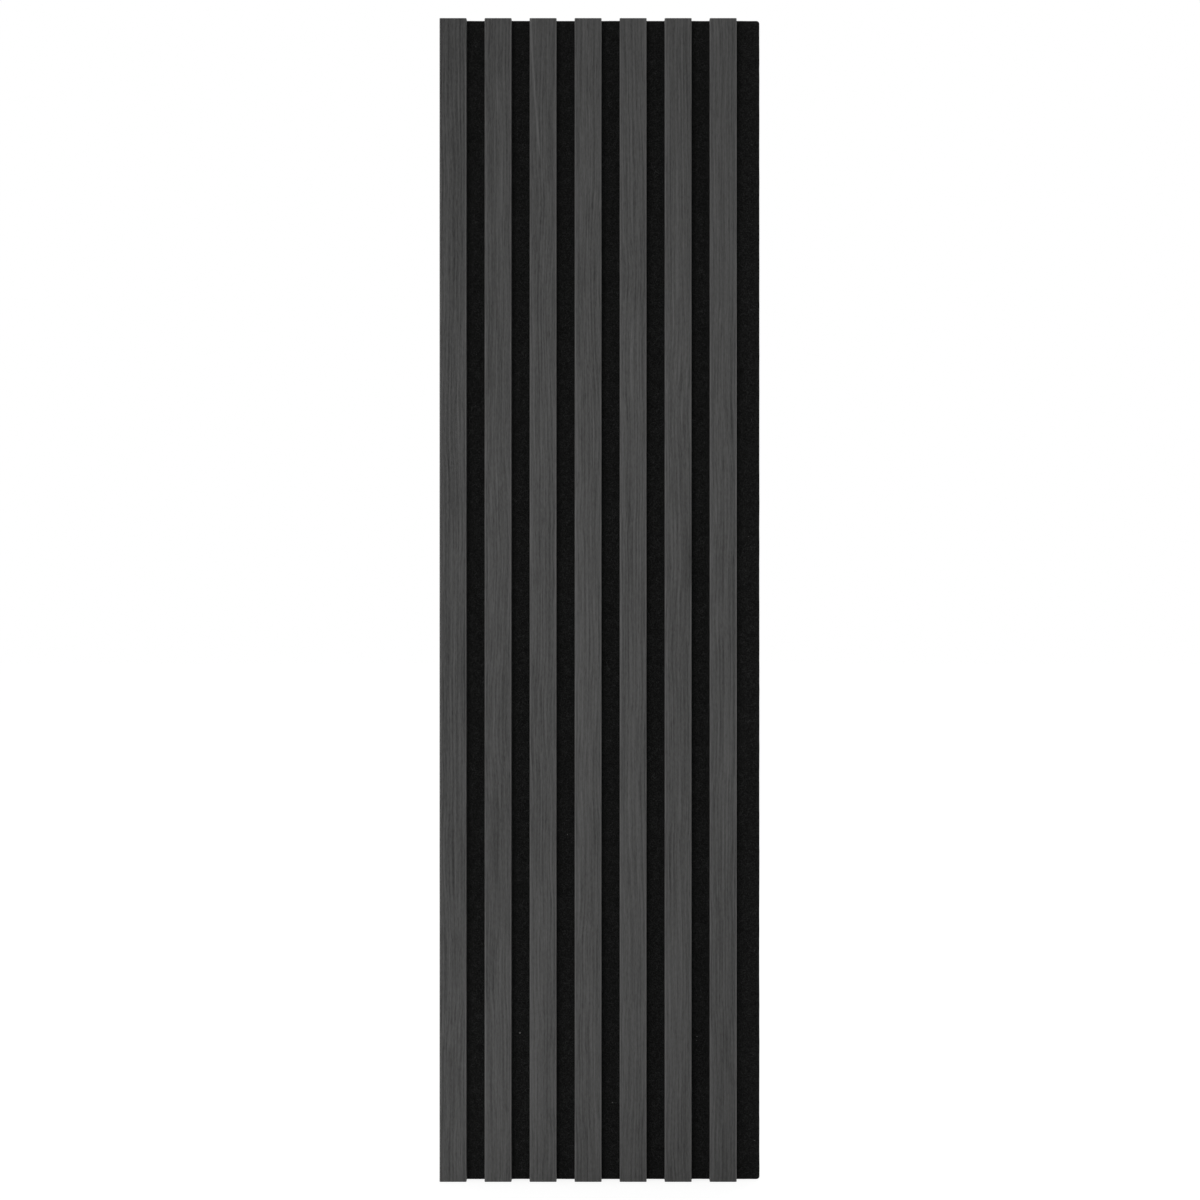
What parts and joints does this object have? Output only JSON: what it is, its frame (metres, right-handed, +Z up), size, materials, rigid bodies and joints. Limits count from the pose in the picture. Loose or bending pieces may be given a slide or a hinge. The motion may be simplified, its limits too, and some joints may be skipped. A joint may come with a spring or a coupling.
{
  "type": "acoustic slat wall panel",
  "caption": "Upright wood-veneered slats stapled to a black pressed-felt board, for covering a wall and damping echo.",
  "frame": {"origin": "middle of the felt board's back face, which is the face that lies on the wall", "axes": "+Y from the slats into the wall, +X to the right as seen from the room, +Z up along the slats"},
  "size_m": [0.3205, 0.021, 1.163],
  "materials": {
    "felt": "pressed felt, black, matt",
    "core": "black-dyed fibreboard, sawn ends",
    "veneer": "charcoal-stained wood veneer, open straight grain, matt",
    "staple": "galvanised wire"
  },
  "bodies": {
    "root": {"felt_backing": "felt", "staples": "staple", "slat_1_core": "core", "slat_1_veneer": "veneer", "slat_2_core": "core", "slat_2_veneer": "veneer", "slat_3_core": "core", "slat_3_veneer": "veneer", "slat_4_core": "core", "slat_4_veneer": "veneer", "slat_5_core": "core", "slat_5_veneer": "veneer", "slat_6_core": "core", "slat_6_veneer": "veneer", "slat_7_core": "core", "slat_7_veneer": "veneer"}
  },
  "joints": []
}
